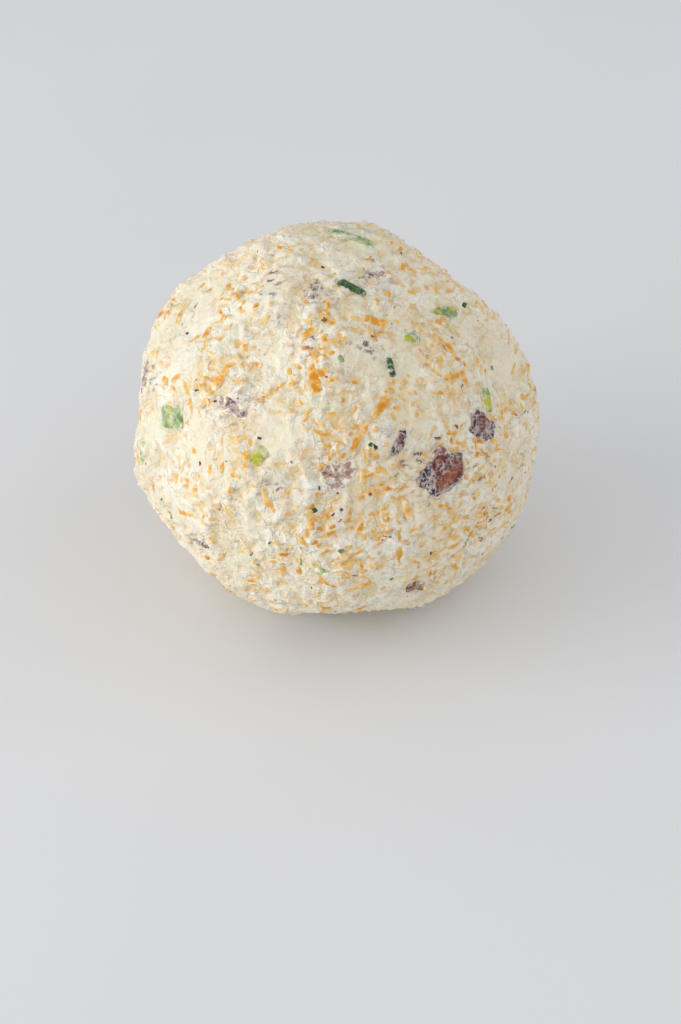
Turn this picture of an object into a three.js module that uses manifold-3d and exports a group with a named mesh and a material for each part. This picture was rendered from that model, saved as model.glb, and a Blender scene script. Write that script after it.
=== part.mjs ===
// A hand-pressed ball of soft cheese, with cheddar shreds, green pepper and bacon set into its surface.
// Units are millimetres and degrees. +Z is up, the front faces -Y, and the flat underside lies on z = 0.
//
// The cheese mass is one solid: a round ball that palms have pressed into broad, soft-edged flats.
// Each shred, pepper piece and bacon piece is a solid of its own. It sits in a pocket of the cheese
// that is a little larger than the piece, and its outer face is pressed flush with the ball.

import * as THREE from "three";
import { mergeVertices } from "three/addons/utils/BufferGeometryUtils.js";
import Module from "manifold-3d";

// Driving dimensions of the cheese mass.
const BALL_RADIUS = 59.5; // the round ball, before it is pressed
const SEAT_SINK = 8.5; // how far the soft underside has settled onto the table
const EDGE_SHARPNESS = 55; // the higher this is, the tighter the rounding between two flats
const BALL_DETAIL = 13; // cuts along each edge of the icosahedron that the ball starts from

// Driving dimensions of what is set into it.
const POCKET_CLEARANCE = 0.3; // between a piece and the wall of its pocket
const PROUD = 0.4; // how far a piece's outer face stands above the cheese
const SHRED_WIDTH = 2.0; // a finely grated cheddar shred
const SHRED_THICKNESS = 2.2;
const PEPPER_WALL = 3.4; // the wall of a diced green pepper
const BACON_THICKNESS = 3.2; // a crumbled piece of a crisp rasher
const STRIP_THICKNESS = 2.6; // a long thin sliver of pepper or bacon, seen edge on

const CENTRE_HEIGHT = BALL_RADIUS - SEAT_SINK;

// A place on the ball is a turn about +Z, which is 0 at the front and 90 on the right, and a lift above
// the horizontal plane through the ball's centre.

// Palm flats: [turn, lift, how deep the flat is pressed into the round ball].
const PALM_FLATS = [
  // round the crown
  [168, 57, 6.1], [128, 44, 9.9], [62, 62, 6.1], [12, 74, 4.3], [-75, 55, 4.5], [-141, 49, 6.1],
  [-158, 54, 5.1], [-127, 42, 3.7], [-28, 50, 3.9], [22, 46, 3.5], [-170, 84, 3.4],
  // round the upper side
  [56, 28, 3.9], [113, 31, 7.9], [103, 19, 6.1], [94, 8, 4.1], [72, 6, 3.3], [10, 14, 2.5],
  [-54, 20, 3.9], [-93, 5, 5.1], [-104, 20, 3.3], [-140, 14, 3.0], [-168, 20, 5.0], [152, 24, 4.5],
  [128, 8, 4.0], [180, 0, 5.4],
  // round the lower side
  [88, -3, 3.3], [81, -13, 2.5], [71, -24, 1.7], [38, -6, 2.7], [-22, -8, 2.7], [-50, -10, 2.7],
  [-77, -20, 2.3], [-65, -31, 3.9], [-122, -10, 3.0], [-150, -26, 3.5], [166, -18, 4.2], [135, -24, 3.2],
  [108, -32, 2.6], [-104, -34, 2.6],
  // round the foot, where the ball curves under to its seat
  [58, -36, 1.7], [40, -47, 2.3], [5, -53, 6.2], [-27, -50, 3.5], [-47, -43, 3.7], [-150, -56, 3.2],
  [170, -44, 3.4], [115, -58, 3.0],
];

// Swells and hollows: [turn, lift, height, how many degrees wide]. A hollow has a negative height.
const SWELLS = [
  [165, 66, 1.0, 10], // the knob at the crown
  [18, 38, 0.7, 11], // the smooth brow on the front
  [-78, -12, 0.6, 9],
  [30, 20, -0.7, 9], // round the largest bacon piece
  [-38, 44, -0.6, 8],
  [-4, 24, -0.5, 8],
  [140, -5, 0.8, 12],
  [-150, 30, -0.7, 10],
  [-120, -20, 0.7, 11],
];

// Pieces: [turn, lift, spin, length, width]. Spin turns the piece's length from level towards the crown.
const PEPPER_PIECES = [
  [-58, 20, 20, 10.0, 7.4], [-22, 23, 63, 5.6, 3.8], [53, 28, 67, 7.4, 4.0], [66, 54, -35, 7.0, 4.0],
  [37, 54, -8, 5.6, 4.4], [-6, 38, -7, 6.8, 3.2], [-4, -9, -6, 5.6, 3.4], [104, 24, 30, 6.8, 5.4],
  [150, 40, -40, 7.2, 5.0], [-112, 30, 55, 6.4, 4.8], [-155, 2, 15, 7.6, 5.8], [128, -20, -60, 6.2, 4.6],
  [178, -22, 35, 6.6, 5.2], [-98, -16, -25, 5.8, 4.4],
];
const PEPPER_SLIVERS = [
  [153, 83, -5, 17.0, 3.6], [13, 73, -41, 8.4, 3.0], [21, 47, 84, 6.0, 2.2], [-66, 5, -62, 9.6, 2.8],
];
const BACON_PIECES = [
  [29, 16, 50, 15.0, 11.4], [47, 23, -62, 9.6, 6.8], [0, 20, 65, 10.4, 7.6], [-34, 33, -5, 9.6, 4.4],
  [22, -19, -15, 6.6, 4.6], [13, 55, 38, 5.8, 3.6], [96, -8, 50, 9.0, 6.4], [170, 12, -30, 11.0, 7.4],
  [-130, 8, 70, 9.4, 6.0], [140, -38, 10, 7.0, 5.0], [-165, 48, -50, 8.0, 5.4],
];
const BACON_SLIVERS = [
  [18, 27, 64, 7.2, 2.8], [-42, -12, 12, 8.6, 2.4], [-20, 71, -88, 10.0, 2.6], [46, 75, -23, 9.6, 2.4],
  [-77, 23, -75, 10.4, 2.6],
];
const CHEDDAR_SHREDS = [
  [-9, 45, -75, 9.4], [22, 61, -30, 7.6], [-14, 57, 49, 6.4], [-62, 46, -54, 5.0], [-43, 40, 84, 9.8],
  [50, 46, 79, 5.4], [44, 39, -11, 8.6], [14, 37, 40, 8.4], [6, 29, 54, 7.2], [-8, 0, -48, 6.0],
  [16, -5, -89, 7.6], [6, -14, 25, 8.6], [-18, 12, -54, 8.0], [19, 8, -77, 6.2], [-45, -3, 19, 8.8],
  [34, -8, 8, 6.0], [82, 12, 60, 8.2], [118, 46, -20, 9.0], [160, -8, 75, 8.8], [-145, -18, 30, 9.4],
  [-120, 52, 10, 7.8], [-84, 42, -40, 8.4],
];

const wasm = await Module();
wasm.setup();

// The unit vector that points from the ball's centre to a place.
function directionOf(turn, lift) {
  const t = THREE.MathUtils.degToRad(turn);
  const l = THREE.MathUtils.degToRad(lift);
  return new THREE.Vector3(Math.sin(t) * Math.cos(l), -Math.cos(t) * Math.cos(l), Math.sin(l));
}

const flats = PALM_FLATS.map(([turn, lift, depth]) => ({
  normal: directionOf(turn, lift),
  reach: BALL_RADIUS - depth,
}));
const swells = SWELLS.map(([turn, lift, height, width]) => ({
  middle: directionOf(turn, lift),
  height,
  width: THREE.MathUtils.degToRad(width),
}));

// How far the surface lies from the centre in a direction. The round ball and all the flats are joined
// by a soft minimum, so neighbouring flats meet in a rounded ridge. The swells are added on top.
function reachAt(direction, grow = 0) {
  let crowding = (1 / (BALL_RADIUS + grow)) ** EDGE_SHARPNESS;
  for (const { normal, reach } of flats) {
    const facing = direction.dot(normal);
    if (facing > 0) crowding += (facing / (reach + grow)) ** EDGE_SHARPNESS;
  }
  let reach = crowding ** (-1 / EDGE_SHARPNESS);
  for (const { middle, height, width } of swells) {
    reach += height * Math.exp(-((direction.angleTo(middle) / width) ** 2));
  }
  return reach;
}

// A closed three.js geometry as a manifold-3d solid, and back.
function solidFrom(geometry) {
  const bare = geometry.clone();
  bare.deleteAttribute("normal");
  bare.deleteAttribute("uv");
  const merged = mergeVertices(bare, 1e-4);
  const vertProperties = new Float32Array(merged.attributes.position.array);
  const triVerts = new Uint32Array(merged.index.array);
  return new wasm.Manifold(new wasm.Mesh({ numProp: 3, vertProperties, triVerts }));
}

function geometryFrom(solid) {
  const { vertProperties, triVerts } = solid.getMesh();
  const geometry = new THREE.BufferGeometry();
  geometry.setAttribute("position", new THREE.BufferAttribute(vertProperties, 3));
  geometry.setIndex(new THREE.BufferAttribute(triVerts, 1));
  geometry.computeVertexNormals();
  return geometry;
}

// Moves every vertex of a geometry by a function of its place.
function reshape(geometry, move) {
  const position = geometry.attributes.position;
  const point = new THREE.Vector3();
  for (let i = 0; i < position.count; i++) {
    move(point.fromBufferAttribute(position, i));
    position.setXYZ(i, point.x, point.y, point.z);
  }
  return geometry;
}

// The pressed ball, its surface moved outwards by grow, and cut off flat on the table.
function ballSolid(grow = 0) {
  const round = reshape(new THREE.IcosahedronGeometry(1, BALL_DETAIL), (point) => {
    point.normalize();
    point.multiplyScalar(reachAt(point, grow));
    point.z += CENTRE_HEIGHT;
  });
  const tableSize = 4 * BALL_RADIUS;
  const table = new THREE.BoxGeometry(tableSize, tableSize, tableSize);
  table.translate(0, 0, -tableSize / 2);
  return solidFrom(round).subtract(solidFrom(table));
}

// A closed outline of a few corners, which fits length by width. It follows a rounded rectangle, and
// each corner is drawn in by up to ragged of its reach. The phase makes every piece's outline its own.
const OUTLINE_SQUARENESS = 4; // 2 is an ellipse, and more is nearer to a rectangle
const CORNER_DRIFT = 0.35; // how far a corner strays from its even place, as a share of their spacing

function chipOutline(length, width, corners, ragged, phase) {
  const points = [];
  for (let i = 0; i < corners; i++) {
    const angle = ((i + CORNER_DRIFT * Math.sin(phase + 2.4 * i)) / corners) * 2 * Math.PI;
    const across = Math.abs(Math.cos(angle)) ** OUTLINE_SQUARENESS;
    const along = Math.abs(Math.sin(angle)) ** OUTLINE_SQUARENESS;
    const drawnIn = ragged * (0.5 + 0.5 * Math.sin(phase + 3.7 * i));
    const reach = 0.5 * (across + along) ** (-1 / OUTLINE_SQUARENESS) * (1 - drawnIn);
    points.push(new THREE.Vector2(length * reach * Math.cos(angle), width * reach * Math.sin(angle)));
  }
  return new THREE.Shape(points);
}

// A chip is a slab with that outline. Its outer face is up and its edges are bevelled.
const CHIP_BEVEL = 0.35;

function chip({ length, width, thickness, corners, ragged, phase, grow }) {
  const inset = 2 * (grow - CHIP_BEVEL);
  const outline = chipOutline(length + inset, width + inset, corners, ragged, phase);
  const slab = new THREE.ExtrudeGeometry(outline, {
    depth: thickness + inset,
    bevelThickness: CHIP_BEVEL,
    bevelSize: CHIP_BEVEL,
    bevelSegments: 1,
  });
  return slab.translate(0, 0, CHIP_BEVEL - grow - thickness / 2);
}

// A shred is a bar with a rounded section that narrows towards its ends and bows to one side.
const SHRED_SIDES = 8;
const SHRED_STEPS = 4;
const SHRED_END_TAPER = 0.45;

function shred({ length, width, thickness, bow, grow }) {
  const section = [];
  for (let i = 0; i < SHRED_SIDES; i++) {
    const angle = ((i + 0.5) / SHRED_SIDES) * 2 * Math.PI;
    section.push(
      new THREE.Vector2((width / 2 + grow) * Math.cos(angle), (thickness / 2 + grow) * Math.sin(angle)),
    );
  }
  const half = length / 2 + grow;
  const bar = new THREE.ExtrudeGeometry(new THREE.Shape(section), {
    depth: 2 * half,
    steps: SHRED_STEPS,
    bevelEnabled: false,
  });
  return reshape(bar, (point) => {
    const along = point.z / half - 1;
    const narrow = 1 - SHRED_END_TAPER * along ** 4;
    point.set(along * half, point.x * narrow + bow * (1 - along ** 2), point.y * narrow);
  });
}

// Moves a piece from its own frame, where its length is X and its outer face is up, to its place on the
// ball, with its top a little above the surface so that it can be pressed flush.
function setIntoBall(geometry, turn, lift, spin, thickness) {
  const out = directionOf(turn, lift);
  const east = directionOf(turn + 90, 0);
  const north = new THREE.Vector3().crossVectors(out, east);
  const middle = out.clone().multiplyScalar(reachAt(out) + 1.5 * PROUD - thickness / 2);
  middle.z += CENTRE_HEIGHT;
  const place = new THREE.Matrix4().makeBasis(east, north, out).setPosition(middle);
  place.multiply(new THREE.Matrix4().makeRotationZ(THREE.MathUtils.degToRad(spin)));
  return geometry.applyMatrix4(place);
}

const creamLook = { color: 0xf0e6cf, roughness: 0.62, metalness: 0 };
const pepperLook = { color: 0x9fb573, roughness: 0.42, metalness: 0 };
const baconLook = { color: 0x7a3f2b, roughness: 0.5, metalness: 0 };
const cheddarLook = { color: 0xe6a03a, roughness: 0.55, metalness: 0 };

// What each kind of piece is made from: its look, its thickness, its rows, and how its own shape is
// made, grown on every side by grow.
function chipKind(look, thickness, rows, corners, ragged) {
  const shapeOf = ([, , , length, width], index, grow) =>
    chip({ length, width, thickness, corners, ragged, phase: 1.7 * index, grow });
  return { look, thickness, rows, shapeOf };
}

const SHRED_BOWS = [0.5, -0.3, 0.15, -0.6]; // how far a shred's middle is bowed aside, taken in turn

function shredKind(look, rows) {
  const shapeOf = ([, , , length], index, grow) =>
    shred({
      length,
      width: SHRED_WIDTH,
      thickness: SHRED_THICKNESS,
      bow: SHRED_BOWS[index % SHRED_BOWS.length],
      grow,
    });
  return { look, thickness: SHRED_THICKNESS, rows, shapeOf };
}

const KINDS = {
  pepper_piece: chipKind(pepperLook, PEPPER_WALL, PEPPER_PIECES, 8, 0.12),
  pepper_sliver: chipKind(pepperLook, STRIP_THICKNESS, PEPPER_SLIVERS, 8, 0.1),
  bacon_piece: chipKind(baconLook, BACON_THICKNESS, BACON_PIECES, 11, 0.26),
  bacon_sliver: chipKind(baconLook, STRIP_THICKNESS, BACON_SLIVERS, 9, 0.2),
  cheddar_shred: shredKind(cheddarLook, CHEDDAR_SHREDS),
};

function meshOf(name, solid, look) {
  const mesh = new THREE.Mesh(geometryFrom(solid), new THREE.MeshStandardMaterial(look));
  mesh.name = name;
  return mesh;
}

// Every piece is pressed flush by the palms' surface. Where it meets a piece that is already in place,
// it is pressed up against that one's side. The pockets together are then cut out of the cheese.
function cheeseBall() {
  const ball = new THREE.Group();
  const palms = ballSolid(PROUD);
  let pockets = null;
  for (const [kind, { look, thickness, rows, shapeOf }] of Object.entries(KINDS)) {
    rows.forEach((row, index) => {
      const [turn, lift, spin] = row;
      const place = (grow) =>
        solidFrom(setIntoBall(shapeOf(row, index, grow), turn, lift, spin, thickness));
      const piece = place(0).intersect(palms);
      const name = `${kind}_${String(index + 1).padStart(2, "0")}`;
      ball.add(meshOf(name, pockets ? piece.subtract(pockets) : piece, look));
      const pocket = place(POCKET_CLEARANCE);
      pockets = pockets ? pockets.add(pocket) : pocket;
    });
  }
  ball.add(meshOf("cheese_mass", ballSolid().subtract(pockets), creamLook));
  return ball;
}

// The origin is on the table, under the middle of the ball's outline.
const ball = cheeseBall();
const middle = new THREE.Box3().setFromObject(ball).getCenter(new THREE.Vector3());
ball.position.set(-middle.x, -middle.y, 0);

export default ball;
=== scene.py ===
# %% [markdown]
# # A ball of soft cheese
# The object is a ball of cream cheese, pressed by hand, with grated cheddar, diced green pepper and
# crumbled bacon in it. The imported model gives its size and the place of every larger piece. This script
# grows the fine surface on that frame: torn and smeared cream cheese, shreds that lie half under it, and
# the pieces themselves with their own flesh and skin.

import bpy
import numpy as np
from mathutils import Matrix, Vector


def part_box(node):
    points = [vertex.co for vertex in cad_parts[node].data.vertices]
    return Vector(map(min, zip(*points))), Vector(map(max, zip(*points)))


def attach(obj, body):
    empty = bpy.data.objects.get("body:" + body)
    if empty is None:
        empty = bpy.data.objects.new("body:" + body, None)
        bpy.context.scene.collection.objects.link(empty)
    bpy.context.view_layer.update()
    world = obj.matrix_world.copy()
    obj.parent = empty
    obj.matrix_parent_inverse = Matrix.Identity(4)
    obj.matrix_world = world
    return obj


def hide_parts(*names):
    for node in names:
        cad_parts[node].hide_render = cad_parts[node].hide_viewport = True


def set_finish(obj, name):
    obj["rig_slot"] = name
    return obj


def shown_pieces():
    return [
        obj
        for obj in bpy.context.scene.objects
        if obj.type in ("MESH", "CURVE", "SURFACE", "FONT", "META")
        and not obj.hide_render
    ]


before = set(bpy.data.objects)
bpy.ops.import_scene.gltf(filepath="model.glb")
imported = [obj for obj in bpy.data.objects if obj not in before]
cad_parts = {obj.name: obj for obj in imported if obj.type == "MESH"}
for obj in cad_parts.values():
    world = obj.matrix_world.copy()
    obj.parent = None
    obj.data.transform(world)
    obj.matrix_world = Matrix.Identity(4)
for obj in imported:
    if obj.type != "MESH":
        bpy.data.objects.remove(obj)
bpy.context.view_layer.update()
MM = 0.001
print(len(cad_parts), "solids in the frame")

# %% [markdown]
# ## The pressed shape
# Palms press a soft ball into broad flats that meet in rounded ridges. A sculpted mesh could hold that,
# but a formula is exact and can be asked anywhere, so every shred can be laid on the surface afterwards.
# The ball is a soft minimum of a sphere and of one plane for each palm flat, with a few low swells.

# %% Palm flats, in millimetres and degrees
BALL_RADIUS = 59.5
SEAT_SINK = 8.5
EDGE_SHARPNESS = 55  # the higher, the crisper the ridges between flats
# turn about +Z from the front, lift above the horizontal, depth of the flat in the round ball
PALM_FLATS = np.array([
    [168, 57, 6.1], [128, 44, 9.9], [62, 62, 6.1], [12, 74, 4.3], [-75, 55, 4.5], [-141, 49, 6.1],
    [-158, 54, 5.1], [-127, 42, 3.7], [-28, 50, 3.9], [22, 46, 3.5], [-170, 84, 3.4],
    [56, 28, 3.9], [113, 31, 7.9], [103, 19, 6.1], [94, 8, 4.1], [72, 6, 3.3], [10, 14, 2.5],
    [-54, 20, 3.9], [-93, 5, 5.1], [-104, 20, 3.3], [-140, 14, 3.0], [-168, 20, 5.0], [152, 24, 4.5],
    [128, 8, 4.0], [180, 0, 5.4],
    [88, -3, 3.3], [81, -13, 2.5], [71, -24, 1.7], [38, -6, 2.7], [-22, -8, 2.7], [-50, -10, 2.7],
    [-77, -20, 2.3], [-65, -31, 3.9], [-122, -10, 3.0], [-150, -26, 3.5], [166, -18, 4.2],
    [135, -24, 3.2], [108, -32, 2.6], [-104, -34, 2.6],
    [58, -36, 1.7], [40, -47, 2.3], [5, -53, 6.2], [-27, -50, 3.5], [-47, -43, 3.7], [-150, -56, 3.2],
    [170, -44, 3.4], [115, -58, 3.0],
])
# turn, lift, height, how many degrees wide
SWELLS = np.array([
    [165, 66, 1.0, 10], [18, 38, 0.7, 11], [-78, -12, 0.6, 9], [30, 20, -0.7, 9], [-38, 44, -0.6, 8],
    [-4, 24, -0.5, 8], [140, -5, 0.8, 12], [-150, 30, -0.7, 10], [-120, -20, 0.7, 11],
])


def toward(turn, lift):
    """The unit vector from the ball's centre to a place: turn 0 is the front (-Y), turn 90 the right."""
    t, l = np.radians(turn), np.radians(lift)
    return np.stack([np.sin(t) * np.cos(l), -np.cos(t) * np.cos(l), np.sin(l)], axis=-1)


def unit(v):
    """The vector over its own length."""
    return v / np.linalg.norm(v, axis=-1, keepdims=True)


def pressed_reach(directions):
    """Millimetres from the centre to the pressed surface. Each flat's plane is met at its reach over the
    cosine to its normal, the soft minimum is (sum of reach ** -p) ** (-1 / p), and a swell adds a bell."""
    p = EDGE_SHARPNESS
    facing = np.clip(directions @ toward(PALM_FLATS[:, 0], PALM_FLATS[:, 1]).T, 0, None)
    crowding = (facing / (BALL_RADIUS - PALM_FLATS[:, 2])) ** p
    reach = (crowding.sum(axis=-1) + BALL_RADIUS**-p) ** (-1 / p)
    away = np.degrees(np.arccos(np.clip(directions @ toward(SWELLS[:, 0], SWELLS[:, 1]).T, -1, 1)))
    return reach + (SWELLS[:, 2] * np.exp(-((away / SWELLS[:, 3]) ** 2))).sum(axis=-1)


def frame_centre():
    """The ball's centre in the frame: its own outline is laid over the box of the cheese in the frame."""
    turns, lifts = np.meshgrid(np.linspace(-180, 180, 361), np.linspace(-60, 90, 151))
    directions = toward(turns, lifts).reshape(-1, 3)
    outline = directions * pressed_reach(directions)[:, None] * MM
    low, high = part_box("cheese_mass")
    middle = (np.array(low) + np.array(high)) / 2 - (outline.min(axis=0) + outline.max(axis=0)) / 2
    return np.array([middle[0], middle[1], SEAT_HEIGHT])


SEAT_HEIGHT = (BALL_RADIUS - SEAT_SINK) * MM  # from the table up to the ball's centre
CENTRE = frame_centre()
print("ball centre, mm:", np.round(CENTRE / MM, 2))

# %% [markdown]
# ## Where the larger pieces sit
# The frame already holds every larger piece as a plain solid pressed flush with the ball. Its middle,
# longest line, length and width are measured from that solid, so that a finer piece takes the same place.


# %% Measure a solid's seat on the ball
def vertices_of(mesh):
    """A mesh's points, one to a row."""
    co = np.empty(len(mesh.vertices) * 3)
    mesh.vertices.foreach_get("co", co)
    return co.reshape(-1, 3)


def tangents(out):
    """The level direction and the one towards the crown, along the ball's surface at a place."""
    east = unit(np.cross([0.0, 0.0, 1.0], out))
    return east, np.cross(out, east)


def seat_of(node):
    """A solid's direction from the centre, the unit lines along and across it, its length and width. The
    line along it is the way its points spread most, and it runs to the right, or up where it is steep."""
    points = vertices_of(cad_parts[node].data) - CENTRE
    out = unit((points.max(axis=0) + points.min(axis=0)) / 2)
    level, crownward = tangents(out)
    flat = np.stack([points @ level, points @ crownward], axis=-1)
    longest = np.linalg.eigh(np.cov(flat.T))[1][:, 1]
    longest = longest * np.sign(longest[0] + longest[1] / 2)
    along = unit(longest[0] * level + longest[1] * crownward)
    across = np.cross(out, along)
    length, width = np.ptp(points @ along), np.ptp(points @ across)
    return {"out": out, "along": along, "across": across, "length": length, "width": width}


PIECE_NODES = sorted(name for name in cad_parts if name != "cheese_mass")
SEATS = {name: seat_of(name) for name in PIECE_NODES}
print(len(SEATS), "seats, the longest", round(max(s["length"] for s in SEATS.values()) / MM, 1), "mm")

# %% [markdown]
# ## How each piece looks
# Every piece has a tone and a film, the share of it that cheese covers. They are settled before the skin
# is shaped, because the skin dips under a bare piece and runs over a covered one. The pieces on the front
# have looks of their own, and the rest take theirs in turn.

# %% Looks: tone, then film
# Pepper's tone 0 is pale flesh and 1 dark skin. Bacon's -0.4 is dull tan, 0 glossy brown, 0.5 dark red and
# 1 near black. Cheddar's 0 is deep orange and 1 pale. The rows are for numbers 01, 02 and so on.
FRONT_LOOKS = {
    "pepper_piece": [
        (0.15, 0.3), (0.4, 0.2), (0.35, 0.35), (0.45, 0.15), (0.2, 0.6), (0.3, 0.75), (0.4, 0.8),
    ],
    "pepper_sliver": [(0.35, 0.48), (1.0, 0.0), (0.8, 0.4), (0.3, 0.75)],
    "bacon_piece": [(0.26, 0.15), (0.46, 0.2), (0.1, 0.75), (0.45, 0.7), (-0.4, 0.25), (0.8, 0.85)],
    "bacon_sliver": [(0.6, 0.12), (0.6, 0.6), (0.9, 0.85), (0.55, 0.75), (0.7, 0.75)],
    "cheddar_shred": [
        (0.0, 0.0), (0.2, 0.1), (0.15, 0.2), (0.1, 0.1), (0.3, 0.4), (0.3, 0.3), (0.2, 0.5),
        (0.0, 0.1), (0.0, 0.1), (0.2, 0.5), (0.5, 0.6), (0.4, 0.3), (0.3, 0.3),
    ],
}
OTHER_LOOKS = {
    "pepper": [(0.2, 0.25), (0.5, 0.5), (0.35, 0.25), (0.2, 0.5), (0.5, 0.25), (0.35, 0.5)],
    "bacon": [(0.3, 0.4), (0.7, 0.6), (0.1, 0.4), (0.3, 0.6), (0.7, 0.4), (0.1, 0.6)],
    "cheddar": [(0.4, 0.3), (0.2, 0.5), (0.5, 0.6)],
}
for order, node in enumerate(PIECE_NODES):
    looks, number = FRONT_LOOKS[node[:-3]], int(node[-2:])
    others = OTHER_LOOKS[node.split("_")[0]]
    look = looks[number - 1] if number <= len(looks) else others[order % len(others)]
    SEATS[node]["tone"], SEATS[node]["film"] = look
print(sum(len(looks) for looks in FRONT_LOOKS.values()), "pieces have looks of their own")

# %% [markdown]
# ## Noise that is asked at points
# The skin, the outlines of crumbled pieces and the scatter of shreds all need the same kind of smooth
# chance. Blender's textures can only be asked by a material, so gradient noise is worked out here for
# whole arrays of points. It gives the same values on every run.


# %% Gradient noise
def corner_slopes(cells, seed):
    """A random unit vector for every lattice cell, from a hash of its three whole numbers."""
    h = cells[..., 0] * 73856093 ^ cells[..., 1] * 19349663 ^ cells[..., 2] * 83492791 ^ seed * 2654435
    h = (h ^ (h >> 13)) * 1274126177 & 0xFFFFFFFF
    h = (h ^ (h >> 15)) * 2246822519 & 0xFFFFFFFF
    turn = (h & 0xFFFF) / 0x10000 * 2 * np.pi
    up = (h >> 16 & 0xFFFF) / 0x8000 - 1
    flat = np.sqrt(1 - np.clip(up, -1, 1) ** 2)
    return np.stack([flat * np.cos(turn), flat * np.sin(turn), up], axis=-1)


def noise(points, wavelength, seed):
    """Gradient noise, about -1 to 1: eight corner slopes, blended by the fade 6t^5 - 15t^4 + 10t^3."""
    scaled = points / wavelength + 11.7 * seed
    cell = np.floor(scaled).astype(np.int64)
    inside = scaled - cell
    fade = inside**3 * (inside * (inside * 6 - 15) + 10)
    total = np.zeros(points.shape[:-1])
    for corner in np.ndindex(2, 2, 2):
        corner = np.array(corner)
        weight = np.prod(np.where(corner == 1, fade, 1 - fade), axis=-1)
        total += weight * np.sum(corner_slopes(cell + corner, seed) * (inside - corner), axis=-1)
    return 1.7 * total


def ridged(points, wavelength, seed, sharpness=1.0):
    """Crests where the noise crosses nought: (1 - sharpness * |noise|) squared, 0 to 1."""
    return (1 - np.clip(sharpness * np.abs(noise(points, wavelength, seed)), 0, 1)) ** 2


def ease(low, high, value):
    """0 below low, 1 above high, and a smooth S between them."""
    t = np.clip((value - low) / (high - low), 0, 1)
    return t * t * (3 - 2 * t)


def stirred(points, wavelength, amount, seed):
    """The points pushed about by noise, so that a pattern asked there is folded and torn."""
    push = [noise(points, wavelength, seed + i) for i in range(3)]
    return points + amount * np.stack(push, axis=-1)


# %% [markdown]
# ## The skin of the cheese
# Cling film was peeled off the ball. Where it clung, the cheese is torn into small scales and folds, and
# where a palm slid, it is smeared smooth. A sculptor would draw the smears by hand, so a short list says
# where they lie, and another where shreds crowd together. Noise frays the edges of both.

# %% Where the skin is smeared, and where shreds crowd
# Where a palm slid: turn, lift, radius in mm.
SMEARS = np.array([
    [-85, 51, 11], [-49, 68, 7], [-25, 50, 6], [24, 48, 8], [-45, 18, 8], [-18, 29, 8], [-23, 1, 5],
    [73, 82, 9], [21, 29, 6], [-28, -13, 7], [68, 31, 6], [-66, 32, 8], [8, 64, 5], [10, 50, 5],
    [-68, 46, 7], [-82, 36, 7], [-64, 12, 7], [-50, 55, 6], [-46, -4, 8], [-48, -22, 8], [-6, -29, 8],
    [18, -28, 7], [66, 2, 5],
    [110, 50, 9], [95, 15, 9], [130, -2, 8], [165, 30, 10], [-160, 5, 8], [-125, 22, 9], [-150, 60, 8],
    [-100, -12, 8], [150, -30, 7], [80, -15, 6], [-175, -30, 7],
])

# Where shreds crowd together, in the same way.
CROWDS = np.array([
    [-9, 47, 7], [2, 28, 8], [-40, 43, 6], [-4, 6, 8], [4, -6, 7], [38, -3, 8], [44, 14, 7], [20, 38, 7],
    [20, 62, 5], [-5, 61, 6], [52, 53, 6], [43, 41, 7], [-48, 32, 5], [-19, 38, 5], [12, 18, 7],
    [28, -2, 7], [-29, 25, 4], [-14, -6, 6], [30, -16, 6], [57, 22, 5], [9, 6, 7], [47, -5, 6],
    [34, 24, 5],
    [100, 0, 8], [150, 45, 8], [-170, -10, 9], [-130, 40, 8], [-100, 5, 8], [120, -25, 8], [125, 20, 8],
    [-140, -15, 8], [-95, 38, 7], [175, 12, 8], [-80, -25, 8],
])


def bells(points, middles, radii, strengths, power):
    """The strongest of the bells strength * exp(-(distance / radius)^power) round the middles."""
    total = np.zeros(points.shape[:-1])
    for middle, radius, strength in zip(middles, radii, strengths):
        apart = np.linalg.norm(points - middle, axis=-1)
        total = np.maximum(total, strength * np.exp(-((apart / radius) ** power)))
    return total


def patches(points, rows, seed):
    """Flat-topped bells round the rows' places, their edges frayed by noise."""
    middles = toward(rows[:, 0], rows[:, 1]) * BALL_RADIUS
    return bells(stirred(points, 8, 3.5, seed), middles, rows[:, 2], np.ones(len(rows)), 4)


def smear_of(points):
    """1 where the cheese is smeared smooth, 0 where it is torn. Noise leaves a few rags on a smear."""
    return patches(points, SMEARS, 70) * ease(-0.6, 0.0, noise(points, 5, 4))


def crowding_of(points):
    """1 where shreds crowd together, 0 where they don't."""
    return patches(points, CROWDS, 90)


print(len(SMEARS), "smears and", len(CROWDS), "crowds of shreds")

# %% [markdown]
# ## The skin as a sum of heights
# The finished surface is the pressed shape plus a height. Lumps and folds are broad, and larger shreds
# ride on them. Scales, creases and grain are fine, and they fade on a smear. Displacing a subdivided mesh
# with a texture could do the same, but heights that are worked out can also be asked where a crumb lies.
# The skin dips under bare pieces, its seat stays flat, and the seat's rim crumbles.

# %% Heights of what the skin is made of, in mm
LUMPS, SMALL_LUMPS, FOLDS = 0.55, 0.30, 0.50
SCALES, FLAKES, CREASES, FINE_CREASES, GRAIN = 0.32, 0.34, 0.72, 0.34, 0.16
DIP = 0.35  # how far the skin sinks under a bare piece
CRUMBLED = 0.9  # how rough the rim of the seat is
RIM_TOP = 16  # how high above the table the crumbled rim reaches
SMOOTHING = 0.85  # the share of scales and grain that a smear takes away
LAPPING = 0.45  # how unevenly cheese laps over a piece's rim, as a share of the piece's half-size


def broad_skin(points):
    """Lumps and folds in mm, about nought on the whole. A fold is a ridge of stirred noise, drawn out
    upwards."""
    drawn = stirred(points, 14, 5, 20) * [1, 1, 0.7]
    lumps = LUMPS * noise(points, 20, 1) + SMALL_LUMPS * noise(points, 9, 2)
    return lumps + FOLDS * (ridged(drawn, 9.5, 5) - 0.55) - 0.15


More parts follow.
